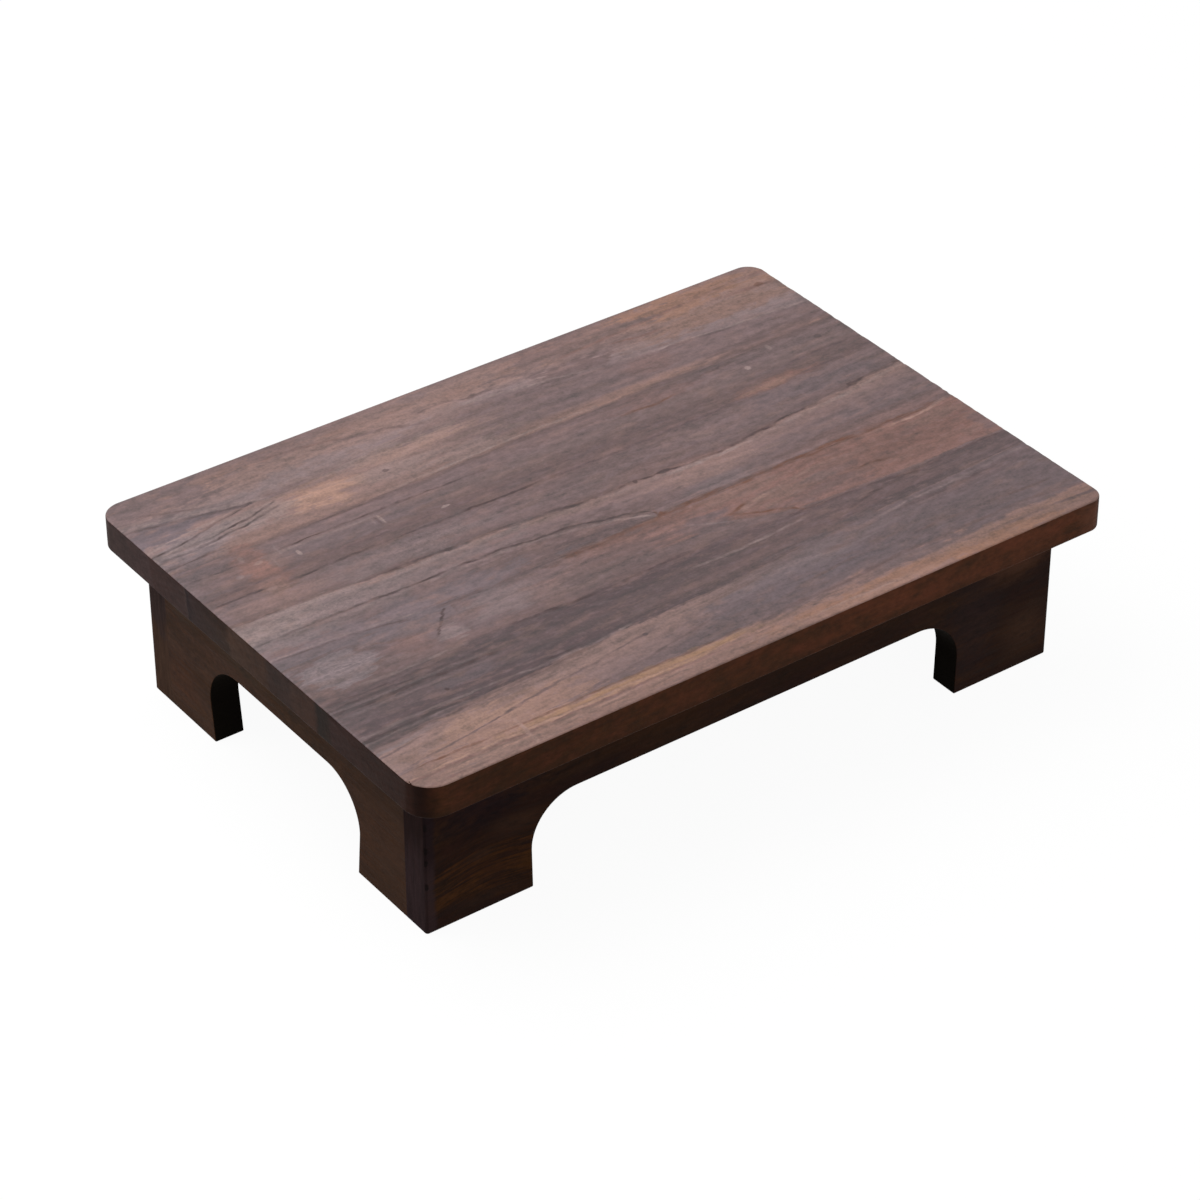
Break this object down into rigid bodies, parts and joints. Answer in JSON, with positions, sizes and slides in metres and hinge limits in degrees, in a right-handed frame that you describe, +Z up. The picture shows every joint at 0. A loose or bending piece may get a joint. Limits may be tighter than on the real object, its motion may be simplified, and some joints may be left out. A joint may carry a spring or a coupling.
{
  "type": "low tea table",
  "caption": "Low oblong tea table: an edge-jointed board top with rounded corners, overhanging a base of arched boards whose ends are the feet.",
  "frame": {"origin": "on the floor, under the middle of the top", "axes": "+X along the length, to the right as seen from the front; +Y from the front to the back; +Z up"},
  "size_m": [0.5, 0.348, 0.124],
  "materials": {
    "top_wood": "brushed, burnt and oiled, satin",
    "base_wood": "brushed, burnt and oiled, dark satin",
    "block_wood": "sawn, stained",
    "dowel_wood": "plain turned",
    "screw_metal": "yellow zinc plated"
  },
  "bodies": {
    "root": {"top_board_back": "top_wood", "top_board_mid_back": "top_wood", "top_board_mid_front": "top_wood", "top_board_front": "top_wood", "front_apron": "base_wood", "back_apron": "base_wood", "left_apron": "base_wood", "right_apron": "base_wood", "corner_block_front_left": "block_wood", "corner_block_front_right": "block_wood", "corner_block_back_left": "block_wood", "corner_block_back_right": "block_wood", "corner_dowels_front_left": "dowel_wood", "corner_dowels_front_right": "dowel_wood", "corner_dowels_back_left": "dowel_wood", "corner_dowels_back_right": "dowel_wood", "rail_dowels_front": "dowel_wood", "rail_dowels_back": "dowel_wood", "rail_dowels_left": "dowel_wood", "rail_dowels_right": "dowel_wood", "edge_dowels_back": "dowel_wood", "edge_dowels_mid": "dowel_wood", "edge_dowels_front": "dowel_wood", "top_screws": "screw_metal", "apron_screws": "screw_metal"}
  },
  "joints": []
}
